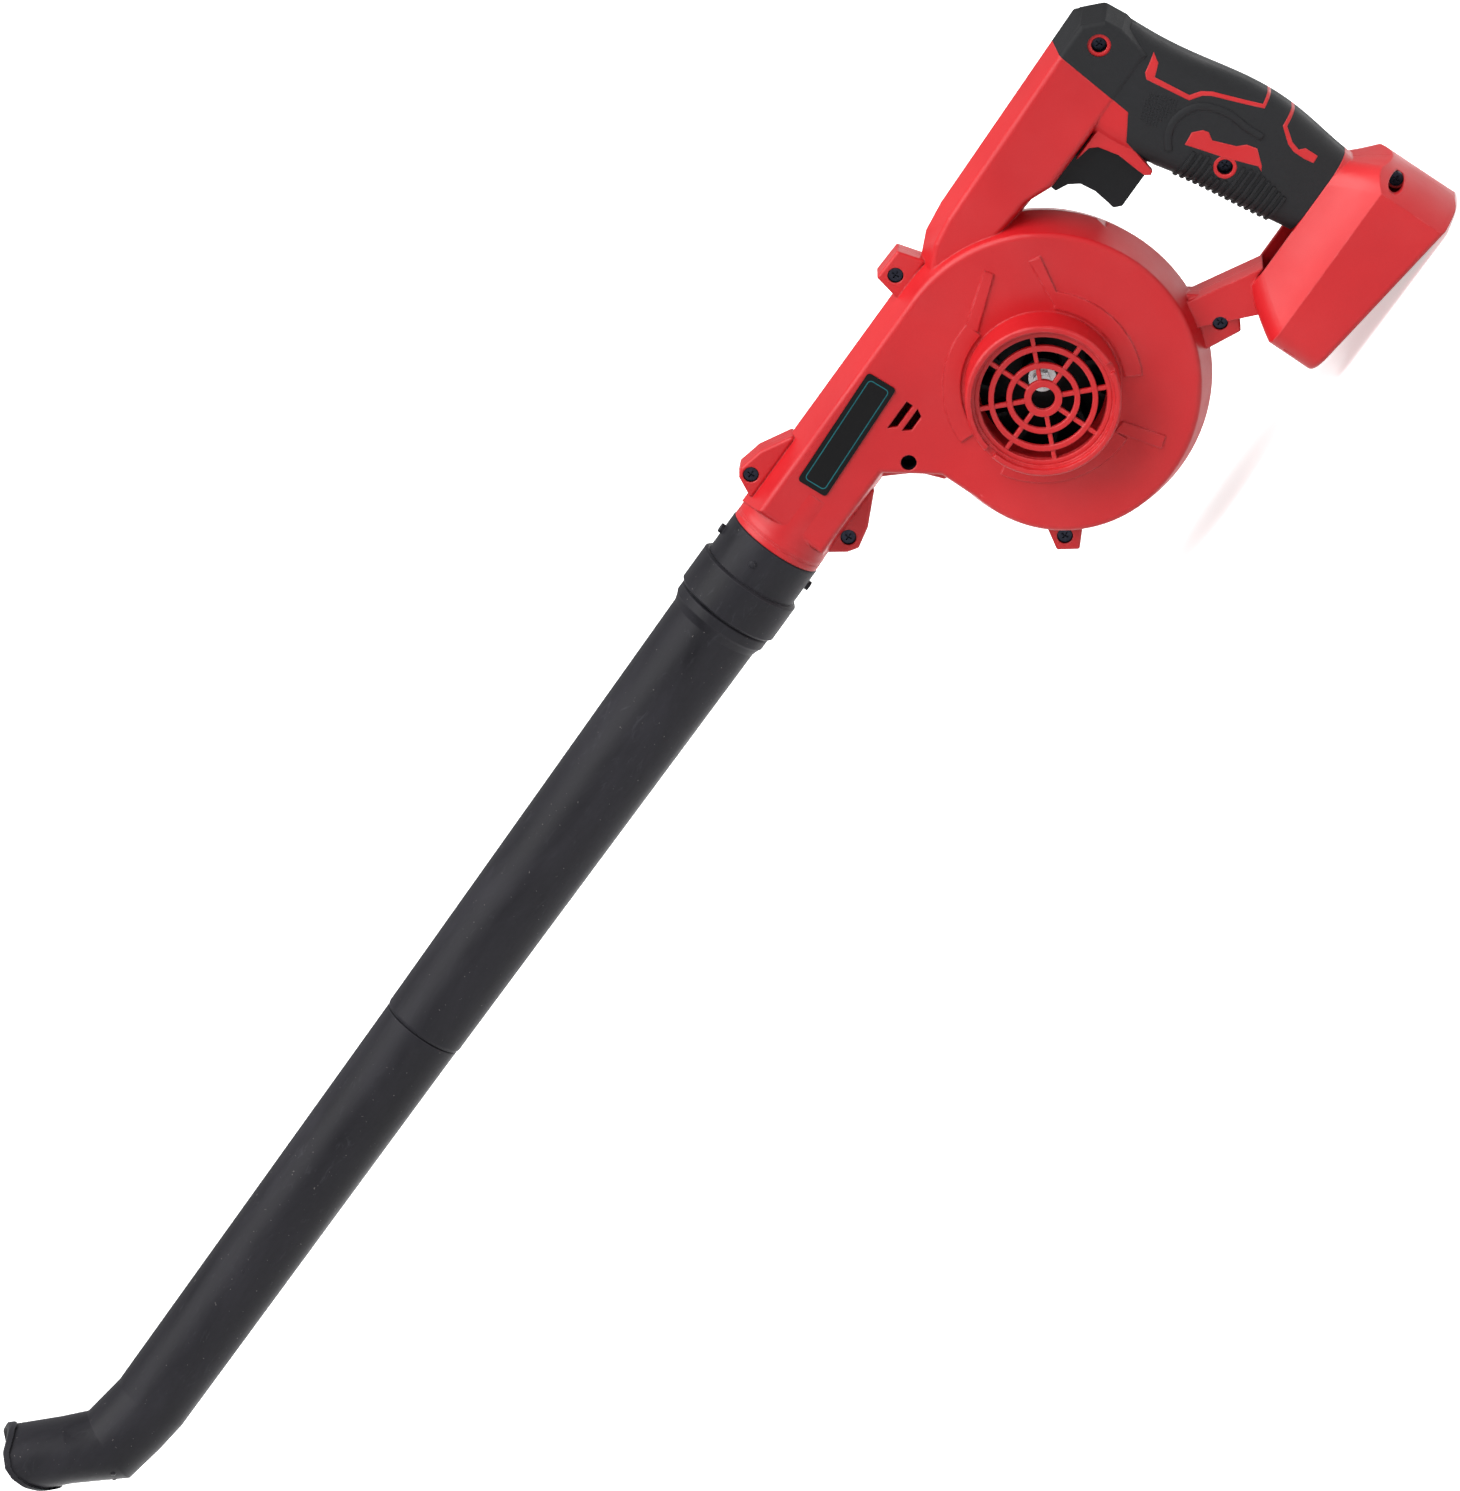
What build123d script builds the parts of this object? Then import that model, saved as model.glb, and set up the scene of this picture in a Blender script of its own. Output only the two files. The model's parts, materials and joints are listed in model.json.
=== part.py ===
from build123d import *
import math
import os

# Cordless leaf blower. Millimetres, +Z up.
# The fan axis is Y, the blow tube runs towards -X and the handle towards +X.
# The shapes are modelled with y = 0 on the parting plane of the two housing halves;
# export() moves them so that the origin is the centre of the inlet collar's rim.

# driving dimensions: fan housing
halfWidth = 24.0
scrollRadius = 85.0
tailX = -72.0
wall = 2.6
faceInset = 6.0
faceRound = 3.0
padHeight = 1.1
neckTop = 85.0
tubeAxisZ = 59.0
neckEndX = -140.0
outletX = -147.5
outletRadius = 24.75

# inlet
collarRadius = 39.0
collarWall = 3.0
rimY = -50.0
grilleRadius = 34.4
grilleY = -45.0
notchTurns = [-170, 28]
grilleThick = 3.0
barWidth = 2.8

# lugs and screws
lugHalf = 8.0
lugRound = 1.5
screwHead = 3.6
screwShank = 1.9
screwLength = 15.0
lugScrewY = -4.0

# arm, grip, foot and strut
armHalf = 18.0
armRound = 3.2
footRound = 2.5
gripHalf = 17.0
overmould = 2.0
footHalf = 36.0
strutHalf = 12.0
footSlope = 7.1
footFront = 83.5
footBack = 192.5
footShoulder = -79.0
footBackRadius = 62.0

# motor and fan
motorRadius = 22.0
motorLength = 30.0
podRadius = 32.0
podLength = 39.0
shaftRadius = 2.5
impellerRadius = 60.0
bladeCount = 11
bearingRadius = 8.0

motorScrewX = 14.5
fanNose = -8.0

# trigger and switch
triggerTravel = 6.5
triggerHalf = 9.0
triggerLow = 18.5
webHalf = 14.5
triggerBack = 118.0
slotBack = triggerBack + triggerTravel + 2.5
switchFront = 132.0
switchZ = 32.0
leadRadius = 1.3

# battery slide
bayHalf = 27.0
bayHeight = 20.0
bayBack = 34.0

# blow tube
spigotRadius = 22.0
boreRadius = 19.4
sleeveRadius = 25.1
collarOuter = 27.4
sleeveLength = 21.3
collarLength = 21.4
seamX = -457.3
tubeWall = 1.6
runGap = 0.3
seamRadius = 21.4
tipTubeRadius = 20.9
upperRadius = 23.3
tipRadius = 19.5
spigotLength = 17.5
tubePlug = 20.9
plugLength = 22.0
tipAcross = -468.4

lugScrews = [(-124.4, 90.5), (1.8, 90.5), (-123.5, 31.8), (-70.6, 32.2), (-61.3, -56.6), (74.0, -56.5)]
handleScrews = [(159.7, 77.2, -10.0), (143.5, -10.6, -9.0), (187.0, -84.0, -14.0)]


def rod(x, z, radius, y0, y1):
    # cylinder along Y between two depths
    return Pos(x, (y0 + y1) / 2, z) * Rot(90, 0, 0) * Cylinder(radius, abs(y1 - y0))


def block(x0, x1, y0, y1, z0, z1):
    middle = Pos((x0 + x1) / 2, (y0 + y1) / 2, (z0 + z1) / 2)
    return middle * Box(abs(x1 - x0), abs(y1 - y0), abs(z1 - z0))


def face2d(points, radius=0.0):
    face = make_face(Polyline(*points, close=True))
    if radius > 0:
        face = fillet(face.vertices(), radius)
    return face


def both(face, half, taper=0.0):
    # the same outline thickened to both sides of the parting plane
    one = extrude(Plane.XZ * face, half, taper=taper)
    return one + mirror(one, Plane.XZ)


def together(shapes):
    # separate solids kept in one node
    return Compound([solid for shape in shapes for solid in shape.solids()])


def plate(points, half, radius=0.0, taper=0.0):
    return both(face2d(points, radius), half, taper)


def tubeAlongX(x0, x1, radius, z=tubeAxisZ):
    return Pos((x0 + x1) / 2, 0, z) * Rot(0, 90, 0) * Cylinder(radius, abs(x1 - x0))


def coneAlongX(x0, r0, x1, r1, z=tubeAxisZ):
    profile = Polyline((x0, 0), (x0, r0), (x1, r1), (x1, 0), close=True)
    return Pos(0, 0, z) * revolve(Plane.XZ * make_face(profile), Axis.X)


def turned(points, z=tubeAxisZ):
    # a solid of revolution about the tube axis from (x, radius) points
    return Pos(0, 0, z) * revolve(Plane.XZ * make_face(Polyline(*points, close=True)), Axis.X)


# housing

def scrollFace(inset):
    r = scrollRadius - inset
    start = math.radians(-105)
    top = neckTop - inset
    knee = (r * math.cos(start), r * math.sin(start))
    tail = (tailX + inset, -6)
    lines = [
        Line((neckEndX, top), (0, top)),
        ThreePointArc((0, top), (r, 0), knee),
        TangentArc([knee, tail], tangent=(math.sin(start), -math.cos(start))),
        Line(tail, (tailX + inset, 13)),
        Line((tailX + inset, 13), (-86 + inset * 0.6, 34.5 + inset)),
        Line((-86 + inset * 0.6, 34.5 + inset), (neckEndX, 34.5 + inset)),
        Line((neckEndX, 34.5 + inset), (neckEndX, top)),
    ]
    return make_face(lines)


def softened(body, depth, radius):
    # rounds the edges of the two flat side faces
    edges = [e for f in body.faces().filter_by(Axis.Y) if abs(abs(f.center().Y) - depth) < 0.01 for e in f.edges()]
    return fillet(edges, radius)


def scroll(inset):
    taper = math.degrees(math.atan(faceInset / halfWidth))
    body = both(scrollFace(inset), halfWidth - inset, taper)
    if inset == 0:
        body = softened(body, halfWidth, faceRound)
    # the flat-sided duct ends in the round outlet
    barrel = tubeAlongX(neckEndX + 28, outletX + 2 + 2 * inset, outletRadius - 0.3 - inset)
    return body + barrel


def collar():
    ring = rod(0, 0, collarRadius, rimY, -halfWidth + 3)
    ring = chamfer(ring.edges().filter_by(lambda e: abs(e.center().Y - rimY) < 0.01), 0.8)
    ring -= rod(0, 0, collarRadius - collarWall, rimY - 1, grilleY - 1)
    for turn in notchTurns:
        ring -= Rot(0, turn, 0) * block(collarRadius - collarWall - 1, collarRadius + 1, rimY - 1, rimY + 3.5, -2.6, 2.6)
    return ring


def lugs():
    shapes = [
        [(-135, 83), (-129, 94.6), (-124.4, 96.6), (-112, 93.7), (-93, 83)],
        [(-8, 82), (-4.6, 97.6), (12.5, 97), (16.5, 82)],
        [(-92, 37), (-113.8, 26.6), (-125.3, 24.2), (-130.3, 27.6), (-137, 37)],
        [(-90, 38), (-60, 38), (-60, 20), (-71, 8), (-76, 22)],
        [(-60, -42), (-69.8, -57.6), (-63, -66.8), (-46, -58)],
        [(56, -58), (76, -67.8), (90, -56), (76, -34), (66, -40)],
    ]
    body = softened(plate(shapes[0], lugHalf, 1.2), lugHalf, lugRound)
    for shape in shapes[1:]:
        body += softened(plate(shape, lugHalf, 1.2), lugHalf, lugRound)
    return body


def arm(inset):
    outline = [
        (10 + inset, 60 + inset), (71, 56 + inset), (84, 50.5 + inset), (116, 50 + inset), (172 - inset, 50 + inset),
        (177 - inset, 72), (176 - inset, 84 - inset), (164 - inset, 95.4 - inset), (140, 94.8 - inset),
        (44, 92.3 - inset), (28 + inset, 90.2 - inset), (10 + inset, 82 - inset),
    ]
    body = plate(outline, armHalf - inset, 3.0, 15.0)
    if inset < wall:
        body = softened(body, armHalf - inset, armRound - inset)
    return body


def grip(inset):
    levels = [
        (-66, 133.5, 180.5, 18.5), (-43, 130.5, 183.0, 17.0), (-14, 127.0, 185.5, gripHalf),
        (8, 123.5, 183.3, gripHalf), (30, 119.0, 179.0, 17.5), (52, 117.0, 176.0, 17.5), (68, 118.0, 175.5, 16.0),
    ]
    sections = []
    for z, front, back, half in levels:
        shape = RectangleRounded(back - front - 2 * inset, 2 * (half - inset), 14.0 - inset)
        sections.append(Pos((front + back) / 2, 0, z) * shape)
    return loft(sections)


def footLevel(inset, z, front, back, half, corner):
    shape = RectangleRounded(back - front - 2 * inset, 2 * (half - inset), corner)
    return Pos((front + back) / 2, 0, z) * shape


def foot(inset):
    body = extrude(footLevel(inset, -125, footFront, footBack, footHalf, 12), 125 + footShoulder - inset)
    body += loft([
        footLevel(inset, footShoulder - inset, footFront, footBack, footHalf, 12),
        footLevel(inset, -71.5 - inset, 87.5, 187, 28, 12),
        footLevel(inset, -57.5, 98, 177, 18, 12),
    ])
    # the underside slopes down towards the back
    under = Pos(138, 0, -111.5 + inset) * Rot(0, footSlope, 0) * Pos(0, 0, -30) * Box(180, 120, 60)
    body -= under
    if inset == 0:
        rims = [e for e in body.edges() if e.bounding_box().max.Z < -100 and e.length > 5]
        body = fillet(rims, footRound)
    # the back end is rounded in plan
    return body & Pos(footBack - footBackRadius, 0, -90) * Cylinder(footBackRadius - inset, 120)


def strut(inset):
    outline = [(66, -32), (110, -57), (110, -72), (92, -72), (66, -48)]
    if inset > 0:
        return both(offset(face2d(outline), -inset), strutHalf - inset)
    return both(face2d(outline), strutHalf)


def pod():
    return rod(0, 0, podRadius, halfWidth - 4, halfWidth + podLength)


def leadDuct(inset):
    bar = block(24, 100 - inset, halfWidth - 5, halfWidth + 9 - inset, -6 + inset, 6 - inset)
    end = block(86 + inset, 100 - inset, armHalf - 6, halfWidth + 4, -6 + inset, 6 - inset)
    return Rot(0, -46, 0) * (bar + end)


def gripZone():
    # the part of the handle that is covered by the soft overmould
    edge = [(146, 110), (144.5, 95), (139.5, 45.5), (126, 37), (123, 27), (120, triggerLow - 1.2),
            (100, triggerLow - 1.2), (100, -57.5), (230, -57.5), (230, 110)]
    return plate(edge, 60)


def inlays():
    # places on the grip where the hard shell comes through the soft overmould
    hook = [(171.6, 52.3), (168.7, 47.5), (162.1, 45), (164.2, 25.5), (169.1, 21.9), (172, 17), (180.4, -7.9),
            (198, -6.8), (198, -9), (179.1, -9.8), (170, 16), (167.5, 20), (161.8, 24), (158.7, 47.8), (161.3, 50.4)]
    finger = [(148.9, 13.4), (153.1, 9.4), (153.8, 6.4), (151.3, 2.6), (155.7, -9.1), (159.3, -12.8),
              (160.6, -18.3), (154.5, -25.3), (151.9, -26.8), (153.3, -24), (149.9, -14.5), (147.1, -6.6), (141.7, 12.6)]
    heel = [(198, -21.8), (177.2, -22.2), (171.2, -29.6), (169.5, -34.2), (169.5, -40.7), (170.3, -45.7),
            (174.3, -45.5), (174.3, -38.1), (171.9, -35.6), (173.3, -30.8), (178.2, -24.2), (198, -23.8)]
    return plate(hook, 60) + plate(finger, 60) + plate(heel, 60)


def bayFrame():
    # frame of the battery slide, tilted with the foot's underside
    return Pos(138, 0, -111.5) * Rot(0, footSlope, 0)


def bayWalls():
    return bayFrame() * block(-53, 37, -29.6, 29.6, 0, bayHeight + wall)


def triggerSlot():
    return block(81.5, slotBack, -triggerHalf - 0.6, triggerHalf + 0.6, triggerLow - 0.6, 61)


def web():
    # cheeks of the arm that close round the back of the trigger
    outline = [(104, 52), (112.4, 50.3), (115.5, 46.9), (117.9, 36), (117, 26), (116.6, 19.5), (118.5, 17),
               (120.5, 17.3), (123.2, 27), (126.2, 37), (131, 45), (131, 52)]
    return plate(outline, webHalf) - block(90, slotBack, -triggerHalf - 0.6, triggerHalf + 0.6, 10, 61)


def emboss():
    # raised arcs round the inlet, each ending in an outward kink: start, end angle and the kink's corners
    sectors = [
        (84, 160, [(5, 43), (34, 53.5), (33, 58.5), (4.5, 49.7)]),
        (-48, 27, [(38, 19), (44, 22), (55, 40), (49.5, 43)]),
        (190, 272, [(1.5, -43), (8, -43), (14, -65), (7.5, -67)]),
    ]
    pads = []
    for first, last, corners in sectors:
        tips = [(90 * math.cos(math.radians(a)), 90 * math.sin(math.radians(a)))
                for a in (first, (first + last) / 2, last)]
        ring = Circle(50) - Circle(41)
        flat = ring & face2d([(0, 0)] + tips)
        pads.append(extrude(Plane.XZ.offset(halfWidth - 0.5) * flat, 0.5 + padHeight))
        pads.append(extrude(Plane.XZ.offset(halfWidth - 0.5) * face2d(corners), 0.5 + padHeight))
    joined = pads[0]
    for pad in pads[1:]:
        joined += pad
    return joined


def outletEnd():
    # ribbed ring at the mouth of the duct, then the plain spigot that goes into the nozzle
    ring = turned([(outletX + 8, 10), (outletX + 8, 24.4), (outletX + 5.6, outletRadius), (outletX + 4.4, outletRadius),
                   (outletX + 4.2, 24.0), (outletX + 3.2, 24.0), (outletX + 3.0, outletRadius),
                   (outletX, outletRadius), (outletX, 10)])
    spigot = tubeAlongX(outletX - spigotLength, outletX + 6, spigotRadius)
    groove = tubeAlongX(outletX - 10.5, outletX - 8, spigotRadius + 1) - tubeAlongX(
        outletX - 11, outletX - 7, spigotRadius - 1.1)
    return ring + spigot - groove


def outletBore():
    return tubeAlongX(outletX - 40, outletX + 9, boreRadius) + coneAlongX(
        outletX + 5, boreRadius, outletX + 12, outletRadius - 0.3 - wall)


def podVents():
    slots = None
    for k in range(10):
        slot = Rot(0, 36 * k, 0) * block(9, 24, halfWidth + podLength - 4, halfWidth + podLength + 4, -1.6, 1.6)
        slots = slot if slots is None else slots + slot
    for k in range(12):
        slots += Rot(0, 30 * k + 15, 0) * block(24, 40, halfWidth + 16, halfWidth + 30, -1.4, 1.4) - block(
            0, 60, 0, 80, 0, 60)
    return slots


def screwPlaces():
    places = [(x, lugScrewY, z) for x, z in lugScrews]
    places += [(x, y, z) for x, z, y in handleScrews]
    return places


def screwCuts():
    cuts = None
    for x, y, z in screwPlaces():
        cut = rod(x, z, screwHead + 0.4, y, -60) + rod(x, z, screwShank + 0.05, y - 1, y + screwLength + 0.3)
        cuts = cut if cuts is None else cuts + cut
    return cuts


def screws():
    group = []
    for x, y, z in screwPlaces():
        head = rod(x, z, screwHead, y - 2.6, y)
        cross = block(x - 2, x + 2, y - 3, y - 1.2, z - 0.4, z + 0.4) + block(
            x - 0.4, x + 0.4, y - 3, y - 1.2, z - 2, z + 2)
        group.append(head + rod(x, z, screwShank, y - 0.5, y + screwLength) - cross)
    return together(group)


def vents():
    upper = extrude(Plane.XZ.offset(halfWidth - 4) * face2d([(-62, 51.3), (-45, 51.3), (-45, 47.4), (-58.5, 47.4)]), 6)
    lower = extrude(Plane.XZ.offset(halfWidth - 4) * face2d([(-59, 44.6), (-45, 44.6), (-47.5, 40.6), (-56, 40.6)]), 6)
    return upper + lower


def housing():
    outer = scroll(0) + lugs() + arm(0) + foot(0) + strut(0) + pod() + leadDuct(0) + grip(0) + collar() + outletEnd()
    outer += web()
    gripOuter = grip(0) + arm(0)
    gripCore = grip(overmould) + arm(overmould)
    soft = (gripOuter - gripCore) & gripZone()
    soft -= inlays()
    soft -= foot(0)
    soft -= triggerSlot()
    hollow = arm(wall + overmould) + grip(wall + overmould) + foot(wall) + strut(wall)
    hollow -= scroll(0)
    hollow -= lugs()
    for x, z, y in handleScrews:
        hollow -= rod(x, z, 5.2, -16, 20)
    hollow -= bayWalls()
    body = outer - soft - hollow
    chamber = scroll(wall)
    for x, z in lugScrews:
        chamber -= rod(x, z, 5.4, -halfWidth, halfWidth)
    body -= chamber
    body -= rod(0, 0, podRadius - wall, halfWidth, halfWidth + podLength - wall)
    body -= leadDuct(wall)
    body -= rod(0, 0, grilleRadius, rimY - 1, grilleY + grilleThick)
    body -= rod(0, 0, grilleRadius - 2.6, grilleY, -halfWidth + wall + 1)
    body -= rod(0, 0, 6, 10, halfWidth + 4)
    for side in (-1, 1):
        body -= rod(side * motorScrewX, 0, 1.55, 10, halfWidth + 4)
    body += emboss()
    body -= outletBore()
    body -= podVents()
    body -= vents()
    body -= triggerSlot()
    body -= bayFrame() * block(-70, bayBack, -bayHalf, bayHalf, 2.6, bayHeight)
    body -= bayFrame() * block(-70, bayBack, -bayHalf + 4, bayHalf - 4, -20, 4)
    body -= bayFrame() * block(8, 22, -9, 9, bayHeight - 2, bayHeight + wall + 1)
    for side in (-1, 1):
        body -= block(78, 86.5, side * 31, side * 40, -93, -86)
    body -= screwCuts()
    soft -= screwCuts()
    for x, z, y in handleScrews[:2]:
        body += (rod(x, z, 6.0, -14.0, -armHalf + 1.2) - rod(x, z, screwHead + 0.4, 0, -60))
        soft -= rod(x, z, 6.0, -12.0, -30)
    return body, soft


# inlet grille and label

def inletGrille():
    y0 = grilleY
    y1 = grilleY + grilleThick
    guard = rod(0, 0, grilleRadius, y0, y1) - rod(0, 0, grilleRadius - 2.4, y0 - 1, y1 + 1)
    for middle, width in ((7.7, 3.6), (17.0, barWidth), (26.0, barWidth)):
        guard += rod(0, 0, middle + width / 2, y0, y1) - rod(0, 0, middle - width / 2, y0 - 1, y1 + 1)
    spokes = None
    for k in range(8):
        spoke = Rot(0, 45 * k, 0) * block(8.2, grilleRadius - 1, y0 + 0.5, y1, -1.1, 1.1)
        spokes = spoke if spokes is None else spokes + spoke
    return guard + spokes


def labelPlate():
    plateShape = extrude(RectangleRounded(66, 16.5, 1.8), 0.9)
    return Pos(-76, -halfWidth, 66.0) * Rot(0, -2.5, 0) * Rot(90, 0, 0) * plateShape


# motor, fan

def motorCan():
    y0 = halfWidth + 0.05
    y1 = y0 + motorLength
    can = rod(0, 0, motorRadius, y0, y1) - rod(0, 0, motorRadius - 1.4, y0 + 1.5, y1 + 1)
    can += rod(0, 0, bearingRadius + 2, y0, y0 + 6.5)
    can -= rod(0, 0, bearingRadius, y0 + 1.5, y0 + 7)
    can -= rod(0, 0, 5, y0 - 1, y0 + 4)
    for side in (-1, 1):
        can -= rod(side * motorScrewX, 0, 1.45, y0 - 1, y0 + 2)
    for k in range(4):
        can -= Rot(0, 45 + 90 * k, 0) * block(motorRadius - 5, motorRadius + 5, y1 - 9, y1 - 4, -4, 4)
    return can


def motorEndBell():
    y0 = halfWidth + 0.05 + motorLength
    bell = rod(0, 0, motorRadius, y0, y0 + 2) + rod(0, 0, bearingRadius + 2.2, y0, y0 + 5.5)
    bell -= rod(0, 0, bearingRadius, y0 - 1, y0 + 4.2)
    for side in (-1, 1):
        bell += block(side * 14 - 3, side * 14 + 3, y0, y0 + 4.5, -4, 4)
    return bell


def bearing(y0, y1):
    ring = rod(0, 0, bearingRadius, y0, y1) - rod(0, 0, shaftRadius + 0.03, y0 - 1, y1 + 1)
    ring -= rod(0, 0, 6.6, y0 - 1, y0 + 0.5) - rod(0, 0, 4.2, y0 - 2, y0 + 1)
    return ring


def magnets():
    y0 = halfWidth + 9
    ring = rod(0, 0, motorRadius - 1.45, y0, y0 + 17) - rod(0, 0, 16.4, y0 - 1, y0 + 18)
    gap = block(-7, 7, y0 - 2, y0 + 20, -40, 40)
    return ring - gap


def armature():
    y0 = halfWidth + 9
    core = rod(0, 0, 15.8, y0, y0 + 16) - rod(0, 0, shaftRadius, y0 - 1, y0 + 17)
    for k in range(8):
        core -= Rot(0, 45 * k, 0) * block(10, 20, y0 - 1, y0 + 17, -0.9, 0.9)
        core -= rod(10.5 * math.cos(math.radians(45 * k)), 10.5 * math.sin(math.radians(45 * k)), 2.6, y0 - 1, y0 + 17)
    return core


def windings():
    y0 = halfWidth + 9
    coil = rod(0, 0, 13.5, y0 - 2.4, y0 - 0.05) - rod(0, 0, shaftRadius + 1.5, y0 - 3, y0)
    return coil


def commutator():
    y0 = halfWidth + 25.1
    return rod(0, 0, 6.5, y0, y0 + 4.0) - rod(0, 0, shaftRadius, y0 - 1, y0 + 6)


def brushes():
    y0 = halfWidth + 26
    return together([block(side * 9.4 - 2.6, side * 9.4 + 2.6, y0, y0 + 3, -2, 2) for side in (-1, 1)])


def motorScrews():
    group = []
    for side in (-1, 1):
        head = rod(side * motorScrewX, 0, 2.6, halfWidth - wall - 2, halfWidth - wall)
        group.append(head + rod(side * motorScrewX, 0, 1.4, halfWidth - wall - 0.5, halfWidth + 4))
    return together(group)


def damper():
    y0 = halfWidth + 18
    return rod(0, 0, podRadius - wall, y0, y0 + 6) - rod(0, 0, motorRadius, y0 - 1, y0 + 7) - Rot(0, -46, 0) * block(
        20, 40, y0 - 1, y0 + 7, -7, 7)


def shaft():
    return rod(0, 0, shaftRadius, fanNose - 5.5, halfWidth + motorLength + 3.5)


def impeller():
    back = rod(0, 0, impellerRadius, 10, 12)
    hub = rod(0, 0, 10, fanNose, 12)
    front = rod(0, 0, impellerRadius, -17.5, -16) - rod(0, 0, 34, -20, -10)
    fan = back + hub + front
    for k in range(bladeCount):
        points = []
        for radius, angle in ((24, 0), (42, -15), (impellerRadius - 0.5, -38)):
            points.append((radius * math.cos(math.radians(angle)), radius * math.sin(math.radians(angle))))
        for radius, angle in ((impellerRadius - 0.5, -36), (42, -12), (24, 5)):
            points.append((radius * math.cos(math.radians(angle)), radius * math.sin(math.radians(angle))))
        edges = [ThreePointArc(*points[:3]), Line(points[2], points[3]), ThreePointArc(*points[3:]),
                 Line(points[5], points[0])]
        blade = extrude(Plane.XZ.offset(-10.5) * make_face(edges), 27)
        fan += Rot(0, 360 / bladeCount * k, 0) * blade
    return fan - rod(0, 0, shaftRadius, -30, 30)


def fanWasher():
    return rod(0, 0, 7, fanNose - 1.2, fanNose) - rod(0, 0, shaftRadius, -30, 30)


def fanNut():
    nut = extrude(Plane.XZ.offset(-fanNose + 1.2) * RegularPolygon(4.6, 6), 4)
    return nut - rod(0, 0, shaftRadius, -30, 30)


# trigger and switch

def trigger():
    points = [(83.6, 50.2), (89.7, 47.2), (93.6, 42.2), (94.6, 34), (93.4, 25), (92.7, 21.7), (96, triggerLow),
              (triggerBack, triggerLow), (triggerBack, 49.0), (116, 52), (116, 57), (84, 57)]
    body = plate(points, triggerHalf)
    edges = body.edges().filter_by(Axis.Y)
    front = [e for e in edges if e.center().X < 95 and e.center().Z < 46]
    body = fillet(front, 1.6)
    return body


def plunger():
    return alongX(triggerBack, switchFront + 2.0, 2.4, switchZ)


def alongX(x0, x1, radius, z, y=0.0):
    return Pos((x0 + x1) / 2, y, z) * Rot(0, 90, 0) * Cylinder(radius, x1 - x0)


def triggerSpring():
    height = switchFront - triggerBack - 1.6
    coil = sweep(Pos(3.6, 0, 0) * Rot(90, 0, 0) * Circle(0.45), path=Helix(2.4, height, 3.6))
    return Pos(triggerBack + 0.8, 0, switchZ) * Rot(0, 90, 0) * coil


def switchBody():
    body = block(switchFront, switchFront + 25, -9, 9, 18, 44)
    body -= alongX(switchFront - 1, switchFront + 11, 2.45, switchZ)
    return body


def heatSink():
    base = block(switchFront + 3, switchFront + 22, 9, 10.2, 21, 42)
    for k in range(5):
        base += block(switchFront + 4 + 4 * k, switchFront + 5 + 4 * k, 10, 12.2, 21, 42)
    return base


def terminalBlock():
    return bayFrame() * (block(14, bayBack - 0.4, -19, 19, 3, 17) + block(16, bayBack - 6, -8, 8, 17, 19.5))


def contactBlades():
    return together([bayFrame() * block(-3, 14, y - 0.4, y + 0.4, 6, 13) for y in (-12, 0, 12)])


def lead(points, radii):
    path = FilletPolyline(*points, radius=radii)
    section = Plane(origin=path @ 0, z_dir=path % 0) * Circle(leadRadius)
    tube = sweep(section, path=path)
    print("lead", round(tube.volume / (math.pi * leadRadius ** 2 * path.length), 4), radii)
    return tube


def batteryLeads():
    pair = []
    for side in (-1, 1):
        start = bayFrame() * Pos(19, side * 4, 19.8)
        x, y, z = start.position.X, start.position.Y, start.position.Z
        points = [(x, y, z), (x, y, z + 22), (x - 1, y, z + 66), (148, y, 17.6)]
        pair.append(lead(points, [12, 12]))
    return together(pair)


def motorLeads():
    pair = []
    for side in (-1, 1):
        reach = math.radians(46)
        far = (92 * math.cos(reach) + 1.1 * side, 92 * math.sin(reach) - 1.1 * side)
        near = (26 * math.cos(reach) + 1.1 * side, 26 * math.sin(reach) - 1.1 * side)
        y = side * 3
        points = [(148, y, 44.2), (146, y, 66), (112, y, 72), (far[0] + 16, y, far[1] + 3),
                  (far[0], 14, far[1]), (far[0] - 3, halfWidth + 3.5, far[1] - 3),
                  (near[0], halfWidth + 3.5, near[1]), (near[0], halfWidth + 28, near[1])]
        pair.append(lead(points, [8, 12, 10, 6, 5.0, 4.0]))
    return together(pair)


# blow tube

def outletSeal():
    x0 = outletX - 10.4
    return tubeAlongX(x0, x0 + 2.3, spigotRadius + 0.05) - tubeAlongX(x0 - 1, x0 + 4, spigotRadius - 1.1)


def nozzleAdapter():
    start = outletX - runGap
    step = start - sleeveLength
    end = step - collarLength
    body = turned([(start, 0), (start, sleeveRadius - 0.6), (start - 0.6, sleeveRadius), (step, sleeveRadius),
                   (step, collarOuter - 1.2), (step - 1.2, collarOuter), (end + 1.2, collarOuter),
                   (end, collarOuter - 1.2), (end, tubePlug), (end - plugLength, tubePlug - 0.4), (end - plugLength, 0)])
    body -= tubeAlongX(outletX - spigotLength - runGap, start + 5, spigotRadius + runGap)
    body -= tubeAlongX(end - plugLength - 5, start + 5, boreRadius - 0.1)
    for side in (-1, 1):
        body += Pos(outletX - 10, 0, tubeAxisZ + side * (sleeveRadius + 0.6)) * Cylinder(2.5, 2.8)
    return body


def tubeStart():
    return outletX - runGap - sleeveLength - collarLength - 0.5


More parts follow.
